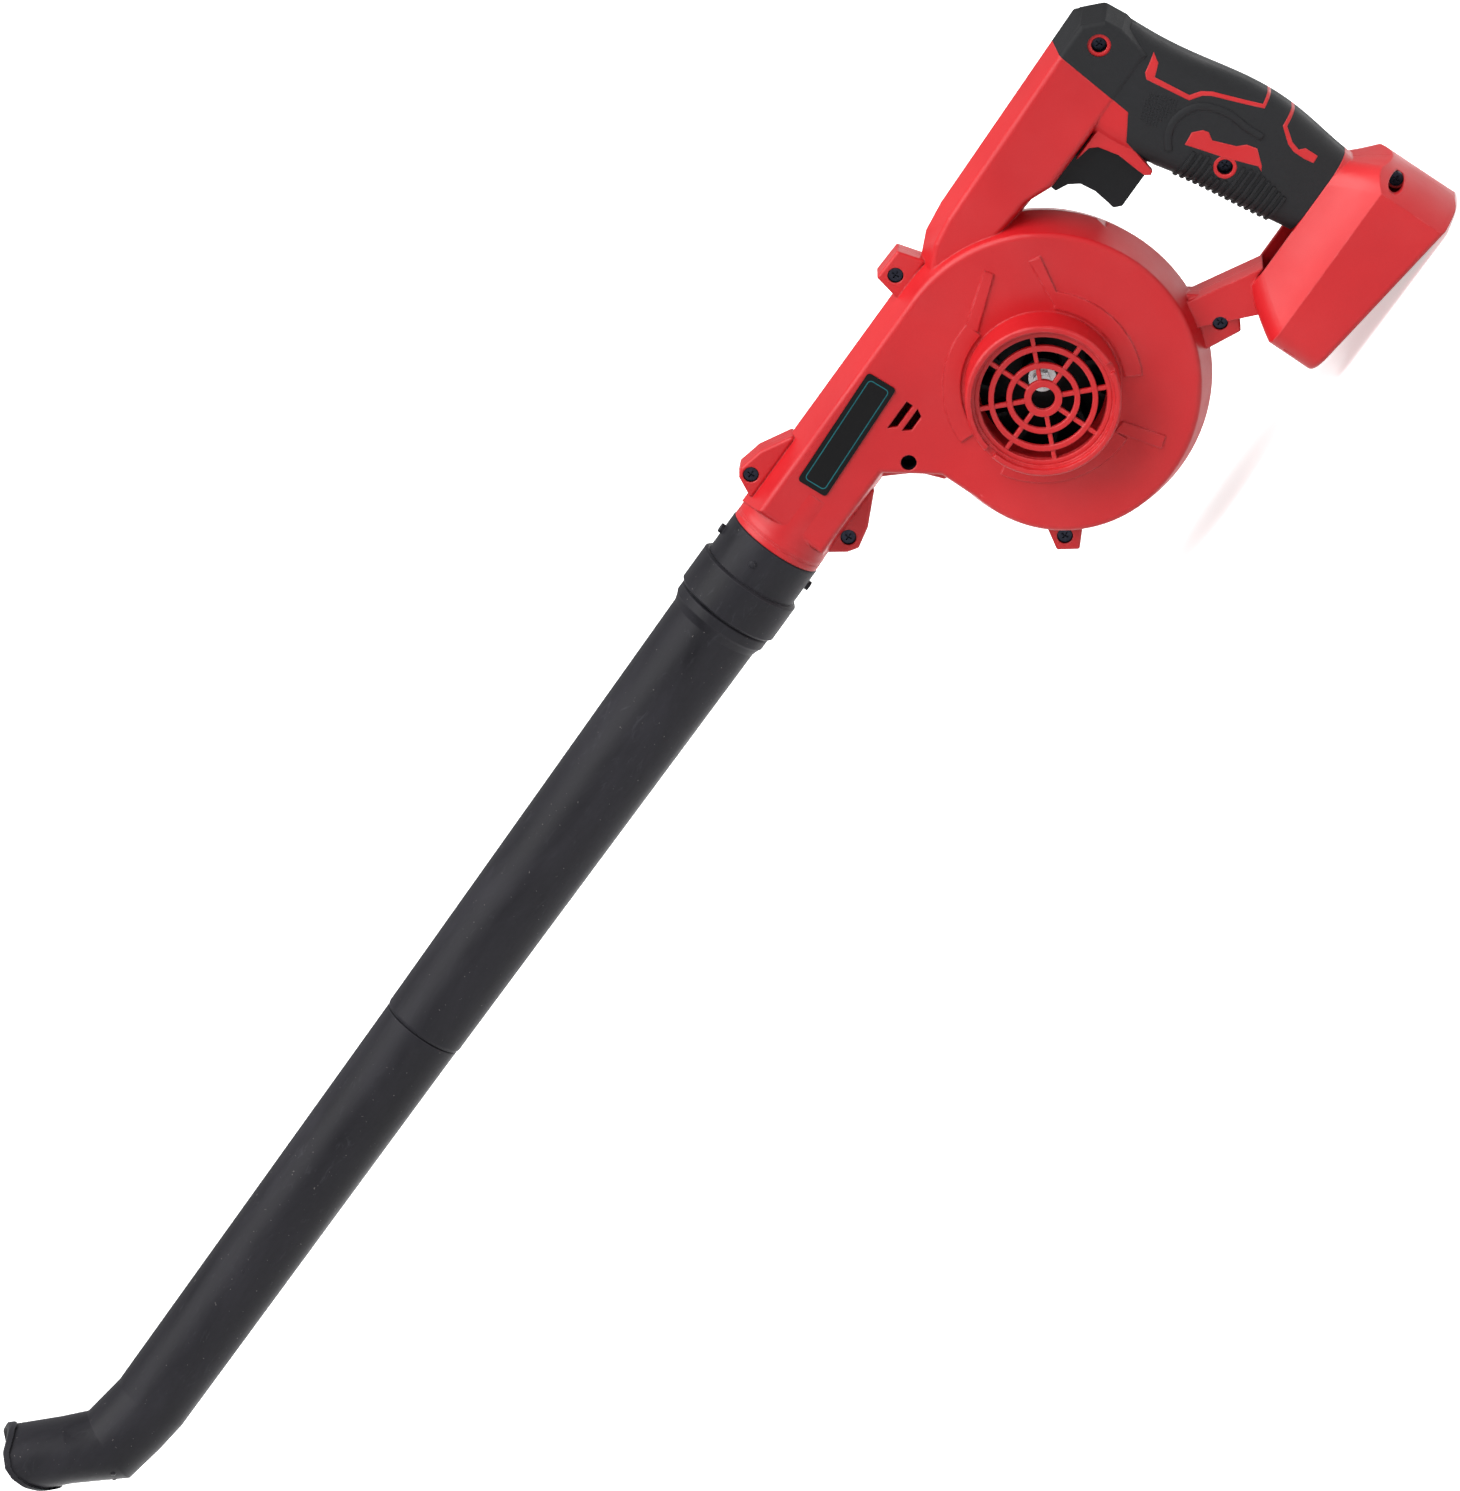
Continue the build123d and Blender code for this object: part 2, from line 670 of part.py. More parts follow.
def upperTube():
    a = tubeStart()
    end = seamX + 0.4
    outside = [(a, 25.0), (a - 1.0, 25.9), (a - 5.6, 25.9), (a - 6.8, 25.2), (a - 10.5, 23.9), (a - 76, upperRadius),
               (end + 1.5, seamRadius), (end, seamRadius - 0.5)]
    inside = [(end, seamRadius - tubeWall), (a - 76, upperRadius - tubeWall), (a - plugLength - 2, 23.5 - tubeWall),
              (a - plugLength, tubePlug + 0.05), (a, tubePlug + 0.05)]
    return turned(outside + inside)


def tipSections(inset):
    # stations along the bent end: centre x, centre z, tilt, half height, half width
    middle = tipAcross
    stations = [(-697.0, tubeAxisZ, 0, tipRadius, tipRadius), (-712.0, 61.0, 4, 19.6, 19.9), (-727.2, 63.6, 22.5, 19.8, 20.6)]
    for along, half, width in ((580.0, 16.7, 21.5), (616.0, 17.0, 22.5)):
        x = (middle - along) * math.sqrt(0.5)
        z = (middle + along) * math.sqrt(0.5)
        stations.append((x, z, 45, half, width))
    sections = []
    for x, z, tilt, half, width in stations:
        plane = Plane(origin=(x, 0, z), x_dir=(0, 1, 0), z_dir=(-math.cos(math.radians(tilt)), 0, math.sin(math.radians(tilt))))
        sections.append(plane * Ellipse(width - inset, half - inset))
    return sections


def tipEnd(inset):
    # side view of the rounded end of the tube
    points = []
    for along, across in ((520, 40), (598, 22), (607, 17.5), (611.3, 10), (611.5, 3), (609, -3), (604, -9.5),
                          (597, -15), (584, -20), (520, -40)):
        a = along - inset if along > 560 else along
        points.append(((tipAcross + across - a) * math.sqrt(0.5), (tipAcross + across + a) * math.sqrt(0.5)))
    return plate(points, 40)


def lowerTube():
    outside = [(seamX + 26, 19.2), (seamX + 25, 19.4), (seamX, 19.4), (seamX, 20.1), (seamX - 0.6, tipTubeRadius),
               (-697.0, tipRadius)]
    inside = [(-697.0, tipRadius - tubeWall), (seamX + 26, 17.8)]
    straight = turned(outside + inside)
    outer = loft(tipSections(0.0), ruled=True)
    inner = loft(tipSections(tubeWall), ruled=True)
    bent = (outer - inner) & tipEnd(0)
    lip = (loft(tipSections(-1.3), ruled=True) - inner) & (tipEnd(0) - tipEnd(3.0))
    return straight + bent + lip


# writing

def export(shape, name):
    os.makedirs("parts", exist_ok=True)
    export_step(Pos(0, -rimY, 0) * shape, "parts/" + name + ".step")
    print(name, round(shape.volume / 1000, 2))


def main():
    body, soft = housing()
    leftSide = block(-300, 300, -100, 0, -200, 200)
    rightSide = block(-300, 300, 0, 100, -200, 200)
    export(body & leftSide, "housing_left")
    export(body & rightSide, "housing_right")
    export(soft & leftSide, "grip_left")
    export(soft & rightSide, "grip_right")
    pieces = {
        "inlet_grille": inletGrille, "label_plate": labelPlate, "housing_screws": screws,
        "motor_can": motorCan, "motor_end_bell": motorEndBell, "motor_magnets": magnets,
        "armature_core": armature, "armature_winding": windings, "commutator": commutator,
        "carbon_brushes": brushes, "motor_screws": motorScrews, "motor_damper": damper,
        "motor_shaft": shaft, "impeller": impeller, "fan_washer": fanWasher, "fan_nut": fanNut,
        "trigger": trigger, "switch_plunger": plunger, "trigger_spring": triggerSpring,
        "switch_body": switchBody, "heat_sink": heatSink, "terminal_block": terminalBlock,
        "contact_blades": contactBlades, "battery_leads": batteryLeads, "motor_leads": motorLeads,
        "outlet_seal": outletSeal, "nozzle_adapter": nozzleAdapter, "upper_tube": upperTube,
        "lower_tube": lowerTube,
    }
    for name, make in pieces.items():
        export(make(), name)
    front = halfWidth + 0.05 + 1.5
    export(bearing(front, front + 5), "front_bearing")
    rear = halfWidth + 0.05 + motorLength
    export(bearing(rear - 0.8, rear + 4.2), "rear_bearing")


main()
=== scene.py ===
import json
import math

import bmesh
import bpy
from mathutils import Matrix, Vector
from mathutils.bvhtree import BVHTree


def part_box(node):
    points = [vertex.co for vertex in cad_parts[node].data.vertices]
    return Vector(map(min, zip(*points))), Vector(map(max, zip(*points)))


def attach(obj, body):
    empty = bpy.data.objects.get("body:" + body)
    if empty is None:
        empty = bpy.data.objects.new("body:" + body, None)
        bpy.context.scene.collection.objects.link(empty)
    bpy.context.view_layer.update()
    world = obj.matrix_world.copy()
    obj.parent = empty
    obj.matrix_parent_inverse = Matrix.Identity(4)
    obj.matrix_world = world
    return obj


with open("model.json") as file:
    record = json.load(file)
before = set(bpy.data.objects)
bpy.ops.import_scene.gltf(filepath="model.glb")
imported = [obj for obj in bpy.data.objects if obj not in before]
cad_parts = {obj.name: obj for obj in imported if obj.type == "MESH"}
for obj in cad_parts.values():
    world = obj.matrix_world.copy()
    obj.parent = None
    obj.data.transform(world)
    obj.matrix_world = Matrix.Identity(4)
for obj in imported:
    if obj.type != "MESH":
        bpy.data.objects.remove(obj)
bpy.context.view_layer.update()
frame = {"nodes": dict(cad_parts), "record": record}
nodes = frame["nodes"]

# sizes taken from the frame, in metres
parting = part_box("housing_left")[1].y
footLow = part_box("housing_left")[0].z


# small helpers for node trees

def addNode(tree, kind, **values):
    node = tree.nodes.new(kind)
    for key, value in values.items():
        if key in node.inputs:
            node.inputs[key].default_value = value
        else:
            setattr(node, key, value)
    return node


def newMaterial(name):
    mat = bpy.data.materials.new(name)
    mat.use_nodes = True
    tree = mat.node_tree
    shader = tree.nodes["Principled BSDF"]
    return mat, tree, shader


def objectCoords(tree, scale=1.0, stretch=(1, 1, 1)):
    coords = addNode(tree, "ShaderNodeTexCoord")
    mapping = addNode(tree, "ShaderNodeMapping")
    mapping.inputs["Scale"].default_value = [scale * s for s in stretch]
    tree.links.new(coords.outputs["Object"], mapping.inputs["Vector"])
    return mapping.outputs["Vector"]


def noise(tree, vector, scale, detail=4.0, roughness=0.5, distortion=0.0):
    tex = addNode(tree, "ShaderNodeTexNoise", Scale=scale, Detail=detail, Roughness=roughness,
                  Distortion=distortion)
    tree.links.new(vector, tex.inputs["Vector"])
    return tex.outputs["Fac"]


def ramp(tree, value, stops):
    node = addNode(tree, "ShaderNodeValToRGB")
    elements = node.color_ramp.elements
    while len(elements) < len(stops):
        elements.new(0.5)
    for element, (place, colour) in zip(elements, stops):
        element.position = place
        element.color = colour if len(colour) == 4 else (*colour, 1)
    tree.links.new(value, node.inputs["Fac"])
    return node.outputs["Color"]


def mixColour(tree, factor, first, second, blend="MIX"):
    node = addNode(tree, "ShaderNodeMix", data_type="RGBA", blend_type=blend)
    slots = {"factor": node.inputs[0], "a": node.inputs[6], "b": node.inputs[7]}
    for key, value in (("factor", factor), ("a", first), ("b", second)):
        if isinstance(value, (int, float)):
            slots[key].default_value = value
        elif isinstance(value, (tuple, list)):
            slots[key].default_value = value if len(value) == 4 else (*value, 1)
        else:
            tree.links.new(value, slots[key])
    return node.outputs[2]


def spread(tree, value, low, high, fromLow=0.0, fromHigh=1.0):
    node = addNode(tree, "ShaderNodeMapRange")
    node.inputs["From Min"].default_value = fromLow
    node.inputs["From Max"].default_value = fromHigh
    node.inputs["To Min"].default_value = low
    node.inputs["To Max"].default_value = high
    tree.links.new(value, node.inputs["Value"])
    return node.outputs["Result"]


def bump(tree, height, strength, distance, normal=None):
    node = addNode(tree, "ShaderNodeBump", Strength=strength, Distance=distance)
    tree.links.new(height, node.inputs["Height"])
    if normal is not None:
        tree.links.new(normal, node.inputs["Normal"])
    return node.outputs["Normal"]


def edgeMask(tree, radius=0.0012):
    # how far the rounded normal leaves the true one: 1 along sharp edges
    bevel = addNode(tree, "ShaderNodeBevel", samples=4, Radius=radius)
    geometry = addNode(tree, "ShaderNodeNewGeometry")
    dot = addNode(tree, "ShaderNodeVectorMath", operation="DOT_PRODUCT")
    tree.links.new(bevel.outputs["Normal"], dot.inputs[0])
    tree.links.new(geometry.outputs["Normal"], dot.inputs[1])
    mask = spread(tree, dot.outputs["Value"], 1.0, 0.0, 0.86, 0.995)
    return mask, bevel.outputs["Normal"]


# red moulded plastic of the housing

redShell = {
    "deep": (0.46, 0.007, 0.011),
    "base": (0.53, 0.011, 0.015),
    "light": (0.60, 0.018, 0.022),
    # pale pink of the painted edge highlight, standing in for the lit sheen of the housing
    "edge_highlight": (0.84, 0.16, 0.17),
    "roughness": (0.34, 0.50),
    "shine": 0.38,
}


def makeRed():
    mat, tree, shader = newMaterial("red_plastic")
    vector = objectCoords(tree)
    cloud = noise(tree, vector, 9.0, 3.0, 0.55)
    body = ramp(tree, cloud, [(0.30, redShell["deep"]), (0.52, redShell["base"]), (0.78, redShell["light"])])
    grain = noise(tree, vector, 1900.0, 2.0, 0.6)
    fleck = ramp(tree, grain, [(0.35, (0.94, 0.94, 0.94)), (0.65, (1.0, 1.0, 1.0))])
    colour = mixColour(tree, 0.8, body, fleck, "MULTIPLY")
    # painted highlight: the sharp edges, broken up by noise, are mixed toward the pale pink in place of a
    # real sheen
    mask, rounded = edgeMask(tree)
    highlight_breakup = noise(tree, vector, 90.0, 5.0, 0.65)
    chance = ramp(tree, highlight_breakup, [(0.42, (0, 0, 0)), (0.62, (1, 1, 1))])
    edge_highlight = mixColour(tree, 1.0, mask, chance, "MULTIPLY")
    soft = spread(tree, edge_highlight, 0.0, 0.42)
    tree.links.new(mixColour(tree, soft, colour, redShell["edge_highlight"]), shader.inputs["Base Color"])
    patch = noise(tree, vector, 26.0, 5.0, 0.6)
    low, high = redShell["roughness"]
    tree.links.new(spread(tree, patch, low, high, 0.3, 0.7), shader.inputs["Roughness"])
    fine = bump(tree, grain, 0.10, 0.0002, rounded)
    tree.links.new(fine, shader.inputs["Normal"])
    shader.inputs["Specular IOR Level"].default_value = redShell["shine"]
    return mat


# soft black overmould of the grip

softGrip = {"dark": (0.0065, 0.0068, 0.0076), "light": (0.0150, 0.0155, 0.0175), "roughness": (0.50, 0.72),
            "shine": 0.22}


def makeSoft():
    mat, tree, shader = newMaterial("soft_grip")
    vector = objectCoords(tree)
    cloud = noise(tree, vector, 22.0, 4.0, 0.6)
    body = ramp(tree, cloud, [(0.3, softGrip["dark"]), (0.75, softGrip["light"])])
    tree.links.new(body, shader.inputs["Base Color"])
    grain = noise(tree, vector, 1400.0, 3.0, 0.7)
    low, high = softGrip["roughness"]
    tree.links.new(spread(tree, cloud, low, high, 0.3, 0.7), shader.inputs["Roughness"])
    tree.links.new(bump(tree, grain, 0.35, 0.0003), shader.inputs["Normal"])
    shader.inputs["Specular IOR Level"].default_value = softGrip["shine"]
    return mat


# dark moulded plastic of the blow tube, with scuffs and specks

tubePlastic = {
    "dark": (0.0075, 0.0073, 0.0095), "base": (0.0150, 0.0145, 0.0180), "light": (0.028, 0.027, 0.033),
    "scuff": (0.060, 0.060, 0.070), "speck": (0.16, 0.15, 0.145), "roughness": (0.36, 0.60), "shine": 0.14,
}


def makeTube():
    mat, tree, shader = newMaterial("tube_plastic")
    vector = objectCoords(tree)
    along = objectCoords(tree, 1.0, (0.25, 1, 1))
    cloud = noise(tree, along, 30.0, 6.0, 0.62, 0.4)
    body = ramp(tree, cloud, [(0.28, tubePlastic["dark"]), (0.5, tubePlastic["base"]),
                              (0.76, tubePlastic["light"])])
    scuff = noise(tree, objectCoords(tree, 1.0, (0.35, 1, 1)), 160.0, 7.0, 0.72, 0.8)
    marks = ramp(tree, scuff, [(0.58, (0, 0, 0)), (0.72, (1, 1, 1))])
    where = ramp(tree, noise(tree, vector, 14.0, 3.0), [(0.45, (0.15, 0.15, 0.15)), (0.62, (1, 1, 1))])
    soft = spread(tree, mixColour(tree, 1.0, marks, where, "MULTIPLY"), 0.0, 0.40)
    colour = mixColour(tree, soft, body, tubePlastic["scuff"])
    dust = ramp(tree, noise(tree, vector, 620.0, 2.0, 0.5), [(0.735, (0, 0, 0)), (0.76, (1, 1, 1))])
    colour = mixColour(tree, spread(tree, dust, 0.0, 0.55), colour, tubePlastic["speck"])
    mask, rounded = edgeMask(tree, 0.0008)
    colour = mixColour(tree, spread(tree, mask, 0.0, 0.45), colour, tubePlastic["scuff"])
    tree.links.new(colour, shader.inputs["Base Color"])
    low, high = tubePlastic["roughness"]
    tree.links.new(spread(tree, cloud, low, high, 0.3, 0.7), shader.inputs["Roughness"])
    grain = noise(tree, vector, 900.0, 3.0, 0.6)
    wave = bump(tree, cloud, 0.12, 0.0008, rounded)
    tree.links.new(bump(tree, grain, 0.12, 0.0002, wave), shader.inputs["Normal"])
    shader.inputs["Specular IOR Level"].default_value = tubePlastic["shine"]
    return mat


# plain black plastic: trigger, switch, fan

blackPlastic = {
    "roughness": (0.38, 0.56), "shine": 0.12,
    "black_plastic": ((0.005, 0.0053, 0.006), (0.010, 0.0103, 0.0115)),
    "label": ((0.0012, 0.0012, 0.0014), (0.0025, 0.0025, 0.003)),
    "teal_line": ((0.010, 0.10, 0.12), (0.016, 0.15, 0.17)),
    "recess_shade": ((0.002, 0.002, 0.004), (0.004, 0.004, 0.007)),
}


def makeBlack(name):
    dark, light = blackPlastic[name]
    mat, tree, shader = newMaterial(name)
    vector = objectCoords(tree)
    cloud = noise(tree, vector, 40.0, 4.0, 0.55)
    tree.links.new(ramp(tree, cloud, [(0.3, dark), (0.7, light)]), shader.inputs["Base Color"])
    low, high = blackPlastic["roughness"]
    tree.links.new(spread(tree, cloud, low, high, 0.3, 0.7), shader.inputs["Roughness"])
    grain = noise(tree, vector, 1500.0, 2.0, 0.6)
    tree.links.new(bump(tree, grain, 0.15, 0.0002), shader.inputs["Normal"])
    shader.inputs["Specular IOR Level"].default_value = blackPlastic["shine"]
    return mat


# metals: dark and light tone, then the roughness range

metals = {
    "dark_screw": ((0.010, 0.011, 0.017), (0.028, 0.030, 0.042), 0.35, 0.55),
    "steel": ((0.42, 0.42, 0.43), (0.66, 0.66, 0.66), 0.22, 0.40),
    "copper": ((0.55, 0.22, 0.09), (0.80, 0.40, 0.20), 0.25, 0.42),
    "brass": ((0.60, 0.44, 0.18), (0.82, 0.64, 0.34), 0.22, 0.38),
    "aluminium": ((0.58, 0.58, 0.60), (0.76, 0.76, 0.78), 0.28, 0.45),
}


def makeMetal(name):
    dark, light, low, high = metals[name]
    mat, tree, shader = newMaterial(name)
    vector = objectCoords(tree)
    streak = noise(tree, vector, 420.0, 5.0, 0.65)
    tree.links.new(ramp(tree, streak, [(0.3, dark), (0.7, light)]), shader.inputs["Base Color"])
    tree.links.new(spread(tree, streak, low, high, 0.3, 0.7), shader.inputs["Roughness"])
    tree.links.new(bump(tree, streak, 0.12, 0.0001), shader.inputs["Normal"])
    shader.inputs["Metallic"].default_value = 1.0
    return mat


rubber = {"dark": (0.012, 0.012, 0.012), "light": (0.03, 0.03, 0.03), "roughness": (0.6, 0.85)}


def makeRubber():
    mat, tree, shader = newMaterial("rubber")
    vector = objectCoords(tree)
    cloud = noise(tree, vector, 60.0, 4.0, 0.6)
    body = ramp(tree, cloud, [(0.3, rubber["dark"]), (0.7, rubber["light"])])
    tree.links.new(body, shader.inputs["Base Color"])
    low, high = rubber["roughness"]
    tree.links.new(spread(tree, cloud, low, high, 0.3, 0.7), shader.inputs["Roughness"])
    tree.links.new(bump(tree, cloud, 0.1, 0.0003), shader.inputs["Normal"])
    return mat


materials = {
    "red_plastic": makeRed(),
    "soft_grip": makeSoft(),
    "tube_plastic": makeTube(),
    "black_plastic": makeBlack("black_plastic"),
    "dark_screw": makeMetal("dark_screw"),
    "steel": makeMetal("steel"),
    "copper": makeMetal("copper"),
    "brass": makeMetal("brass"),
    "aluminium": makeMetal("aluminium"),
    "rubber": makeRubber(),
    "label": makeBlack("label"),
    "carbon": makeRubber(),
}
tealLine = makeBlack("teal_line")
recessShade = makeBlack("recess_shade")
print("materials made")

for row in frame["record"]["subparts"]:
    part = nodes[row["node"]]
    part.data.materials.clear()
    part.data.materials.append(materials[row["material_slot"]])
print("materials on the frame's own parts")


# added pieces, made from mesh code and carried by the body they sit on

def addPiece(name, body, slotName, verts, faces, mat=None, smooth=True):
    mesh = bpy.data.meshes.new(name)
    mesh.from_pydata([tuple(v) for v in verts], [], faces)
    mesh.update()
    build = bmesh.new()
    build.from_mesh(mesh)
    bmesh.ops.recalc_face_normals(build, faces=build.faces)
    build.to_mesh(mesh)
    build.free()
    for face in mesh.polygons:
        face.use_smooth = smooth
    piece = bpy.data.objects.new(name, mesh)
    piece.data.materials.append(mat or materials[slotName])
    bpy.context.scene.collection.objects.link(piece)
    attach(piece, body)
    return piece


def meshTree(*names):
    build = bmesh.new()
    for name in names:
        part = nodes[name]
        extra = bmesh.new()
        extra.from_mesh(part.data)
        extra.transform(part.matrix_world)
        held = bpy.data.meshes.new("held")
        extra.to_mesh(held)
        extra.free()
        build.from_mesh(held)
        bpy.data.meshes.remove(held)
    tree = BVHTree.FromBMesh(build)
    build.free()
    return tree


def ridge(verts, faces, points, normals, across, section):
    # a raised strip through the points: section gives (sideways, height) pairs
    start = len(verts)
    count = len(section)
    for point, normal, side in zip(points, normals, across):
        for off, height in section:
            verts.append(point + side * off + normal * height)
    for k in range(len(points) - 1):
        for j in range(count):
            a, b = start + k * count + j, start + k * count + (j + 1) % count
            faces.append((a, b, b + count, a + count))
    faces.append(tuple(start + j for j in range(count)))
    last = start + (len(points) - 1) * count
    faces.append(tuple(last + j for j in reversed(range(count))))


gripRibs = {
    "low": -0.0440, "high": 0.0085, "pitch": 0.0036, "width": 0.0020, "height": 0.0011,
    "centre": 0.149, "screw": (0.1435, -0.0106), "screwRing": 0.0068,
    "sunk": -0.0005, "crown": 0.55, "steps": 60, "sweep": 104.0, "outside": 0.06,
    "reachTop": 0.1405, "reachLow": 0.1515, "bend": -0.026,
}


def ribReach(z):
    # how far back a rib runs on the side of the grip
    bend = gripRibs["bend"]
    if z > bend:
        return gripRibs["reachTop"] + (0.009 - z) * 0.31
    return gripRibs["reachLow"] + (z - bend) * 0.2


def addRibs(side, surface):
    verts, faces = [], []
    w, h = gripRibs["width"] / 2, gripRibs["height"]
    sunk, crown = gripRibs["sunk"], w * gripRibs["crown"]
    section = [(-w, sunk), (-crown, h), (crown, h), (w, sunk)]
    steps = gripRibs["steps"]
    z = gripRibs["low"]
    up = Vector((0, 0, 1))
    while z < gripRibs["high"]:
        runs, points, normals = [], [], []
        for k in range(steps + 1):
            turn = math.radians(1.0 + gripRibs["sweep"] * k / steps)
            away = Vector((-math.cos(turn), side * math.sin(turn), 0))
            centre = Vector((gripRibs["centre"], parting, z))
            hit, normal, index, gap = surface.ray_cast(centre + away * gripRibs["outside"], -away)
            sx, sz = gripRibs["screw"]
            clear = hit is not None
            if clear and side < 0:
                clear = math.hypot(hit.x - sx, hit.z - sz) > gripRibs["screwRing"]
            if clear and hit.x < ribReach(z):
                points.append(hit)
                normals.append(normal if normal.dot(away) > 0 else -normal)
            elif points:
                runs.append((points, normals))
                points, normals = [], []
        if points:
            runs.append((points, normals))
        for points, normals in runs:
            if len(points) > 2:
                ridge(verts, faces, points, normals, [up] * len(points), section)
        z += gripRibs["pitch"]
    name = "grip_ribs_left" if side < 0 else "grip_ribs_right"
    addPiece(name, "housing", "soft_grip", verts, faces, smooth=False)


def onSide(surface, side, x, z):
    # the point of the surface at this place, looking in from the side
    hit, normal, index, gap = surface.ray_cast(Vector((x, parting + side * 0.08, z)), Vector((0, -side, 0)))
    if normal is not None and normal.y * side < 0:
        normal = -normal
    return hit, normal


thumbRidge = {
    "path": [(0.1345, 0.0175), (0.1400, 0.0215), (0.1465, 0.0238), (0.1530, 0.0233), (0.1590, 0.0205),
             (0.1635, 0.0160), (0.1662, 0.0090), (0.1672, 0.0010), (0.1664, -0.0080), (0.1668, -0.0170)],
    "width": 0.0050, "height": 0.0008,
}


def smoothPath(points, steps):
    out = []
    for k in range(len(points) - 1):
        p0 = points[max(k - 1, 0)]
        p1, p2 = points[k], points[k + 1]
        p3 = points[min(k + 2, len(points) - 1)]
        for j in range(steps):
            t = j / steps
            place = []
            for a, b, c, d in zip(p0, p1, p2, p3):
                bend = (2 * a - 5 * b + 4 * c - d) * t * t
                twist = (3 * b - a - 3 * c + d) * t ** 3
                place.append(0.5 * (2 * b + (c - a) * t + bend + twist))
            out.append(tuple(place))
    out.append(points[-1])
    return out


def addThumbRidge(side, surface):
    verts, faces = [], []
    w, h = thumbRidge["width"] / 2, thumbRidge["height"]
    section = [(-w, -0.0003), (-w * 0.65, h * 0.55), (-w * 0.25, h),
               (w * 0.25, h), (w * 0.65, h * 0.55), (w, -0.0003)]
    places = smoothPath(thumbRidge["path"], 6)
    points, normals, across = [], [], []
    for k, (x, z) in enumerate(places):
        hit, normal = onSide(surface, side, x, z)
        if hit is None:
            continue
        ahead, behind = places[min(k + 1, len(places) - 1)], places[max(k - 1, 0)]
        along = Vector((ahead[0] - behind[0], 0, ahead[1] - behind[1])).normalized()
        points.append(hit)
        normals.append(normal)
        across.append(normal.cross(along).normalized())
    ridge(verts, faces, points, normals, across, section)
    name = "thumb_ridge_left" if side < 0 else "thumb_ridge_right"
    addPiece(name, "housing", "soft_grip", verts, faces)


checker = {
    "corners": [(0.1545, 0.0433), (0.1596, 0.0290), (0.1563, 0.0262), (0.1400, 0.0300), (0.1392, 0.0394)],
    "pitch": 0.0017, "base": 0.0013, "height": 0.0005, "lean": 0.35,
    "middle": (0.149, 0.0345), "reach": 16,
}


def inside(corners, x, z):
    held = False
    for k in range(len(corners)):
        (x0, z0), (x1, z1) = corners[k - 1], corners[k]
        if (z0 > z) != (z1 > z) and x < (x1 - x0) * (z - z0) / (z1 - z0) + x0:
            held = not held
    return held


def addChecker(side, surface):
    verts, faces = [], []
    cos, sin = math.cos(checker["lean"]), math.sin(checker["lean"])
    half = checker["base"] / 2
    reach = checker["reach"]
    midX, midZ = checker["middle"]
    for i in range(-reach, reach + 1):
        for j in range(-reach, reach + 1):
            a, b = i * checker["pitch"], j * checker["pitch"]
            x, z = midX + a * cos - b * sin, midZ + a * sin + b * cos
            if not inside(checker["corners"], x, z):
                continue
            hit, normal = onSide(surface, side, x, z)
            if hit is None:
                continue
            first = normal.cross(Vector((cos, 0, sin))).normalized()
            second = normal.cross(first).normalized()
            start = len(verts)
            for u, v in ((-1, -1), (1, -1), (1, 1), (-1, 1)):
                verts.append(hit + first * u * half + second * v * half - normal * 0.0002)
            verts.append(hit + normal * checker["height"])
            faces.append(tuple(start + k for k in range(4)))
            for k in range(4):
                faces.append((start + k, start + (k + 1) % 4, start + 4))
    name = "checker_left" if side < 0 else "checker_right"
    addPiece(name, "housing", "soft_grip", verts, faces, smooth=False)


labelLine = {
    "length": 0.0610, "height": 0.0120, "corner": 0.0022, "width": 0.0005,
    "lift": 0.00010, "sunk": -0.0002, "tilt": -2.5,
}


def roundedLoop(length, height, corner, steps=8):
    out = []
    for cx, cz, first in ((1, 1, 0), (-1, 1, 90), (-1, -1, 180), (1, -1, 270)):
        for k in range(steps + 1):
            turn = math.radians(first + 90 * k / steps)
            out.append((cx * (length / 2 - corner) + corner * math.cos(turn),
                        cz * (height / 2 - corner) + corner * math.sin(turn)))
    return out


def addLabelLine():
    low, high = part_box("label_plate")
    middle = (low + high) / 2
    tilt = math.radians(labelLine["tilt"])
    width = labelLine["width"]
    loops = []
    for grow in (0, -2 * width):
        loops.append(roundedLoop(labelLine["length"] + grow, labelLine["height"] + grow,
                                 labelLine["corner"] + grow / 2))
    verts, faces = [], []
    count = len(loops[0])
    for depth in (labelLine["lift"], labelLine["sunk"]):
        for loop in loops:
            for x, z in loop:
                verts.append(Vector((middle.x + x * math.cos(tilt) + z * math.sin(tilt), low.y - depth,
                                     middle.z - x * math.sin(tilt) + z * math.cos(tilt))))
    for k in range(count):
        n = (k + 1) % count
        for first, second in ((0, 1), (1, 3), (3, 2), (2, 0)):
            a, b = first * count, second * count
            faces.append((a + k, a + n, b + n, b + k))
    addPiece("label_line", "housing", "label", verts, faces, tealLine, False)


screwRecess = {
    "radius": 0.00385, "inner": 0.00365, "sides": 32, "smallestHead": 0.006, "probe": 0.0046,
    "belowMouth": 0.0006, "pastHead": 0.002,
}


